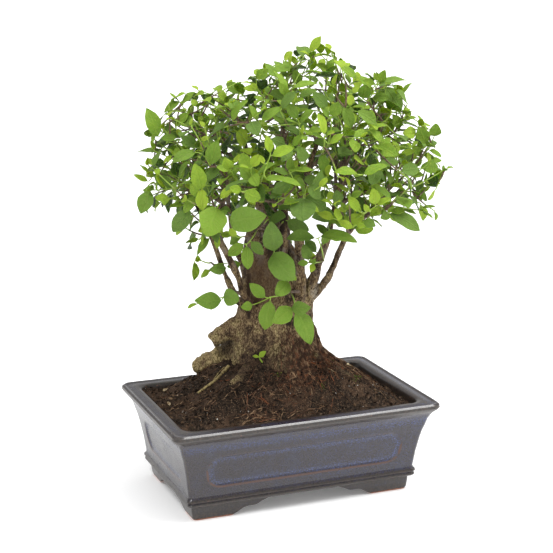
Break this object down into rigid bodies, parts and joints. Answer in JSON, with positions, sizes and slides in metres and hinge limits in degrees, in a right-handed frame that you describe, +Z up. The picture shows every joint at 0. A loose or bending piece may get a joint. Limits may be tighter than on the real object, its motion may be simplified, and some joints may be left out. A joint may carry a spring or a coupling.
{
  "type": "privet bonsai",
  "caption": "Privet bonsai with a squat gnarled trunk and a round, leafy crown, planted in a rectangular glazed pot with four corner feet.",
  "frame": {"origin": "on the surface that the pot stands on, under the middle of the whole object's box", "axes": "+Z up; X along the pot's long side; the tree's best side faces -Y, turned 21.8 degrees towards -X"},
  "size_m": [0.2688, 0.2386, 0.405],
  "materials": {
    "glaze": "gloss",
    "soil": "matte",
    "bark": "matte",
    "leaf": "satin",
    "drain_plastic": "matte"
  },
  "bodies": {
    "root": {"pot": "glaze", "soil": "soil", "trunk": "bark", "drain_mesh_left": "drain_plastic", "drain_mesh_right": "drain_plastic", "back_crown": "leaf", "back_left": "leaf", "back_left_high": "leaf", "back_middle": "leaf", "back_right": "leaf", "back_right_high": "leaf", "behind_centre_low": "leaf", "behind_front_centre": "leaf", "behind_front_high_left": "leaf", "behind_front_left": "leaf", "behind_left_front": "leaf", "behind_left_inner": "leaf", "behind_left_low": "leaf", "behind_right_front": "leaf", "behind_right_front_high": "leaf", "behind_right_upper": "leaf", "centre_low": "leaf", "crown_tip": "leaf", "front_centre": "leaf", "front_high": "leaf", "front_high_left": "leaf", "front_high_right": "leaf", "front_left": "leaf", "left_front": "leaf", "left_high": "leaf", "left_inner": "leaf", "left_low": "leaf", "left_mid": "leaf", "left_top": "leaf", "left_upper": "leaf", "low_front": "leaf", "low_left": "leaf", "low_left_high": "leaf", "right_far": "leaf", "right_front": "leaf", "right_front_high": "leaf", "right_front_low": "leaf", "right_low": "leaf", "right_mid": "leaf", "right_tip": "leaf", "right_top": "leaf", "right_upper": "leaf", "top_centre": "leaf", "top_left": "leaf", "top_right": "leaf"}
  },
  "joints": []
}
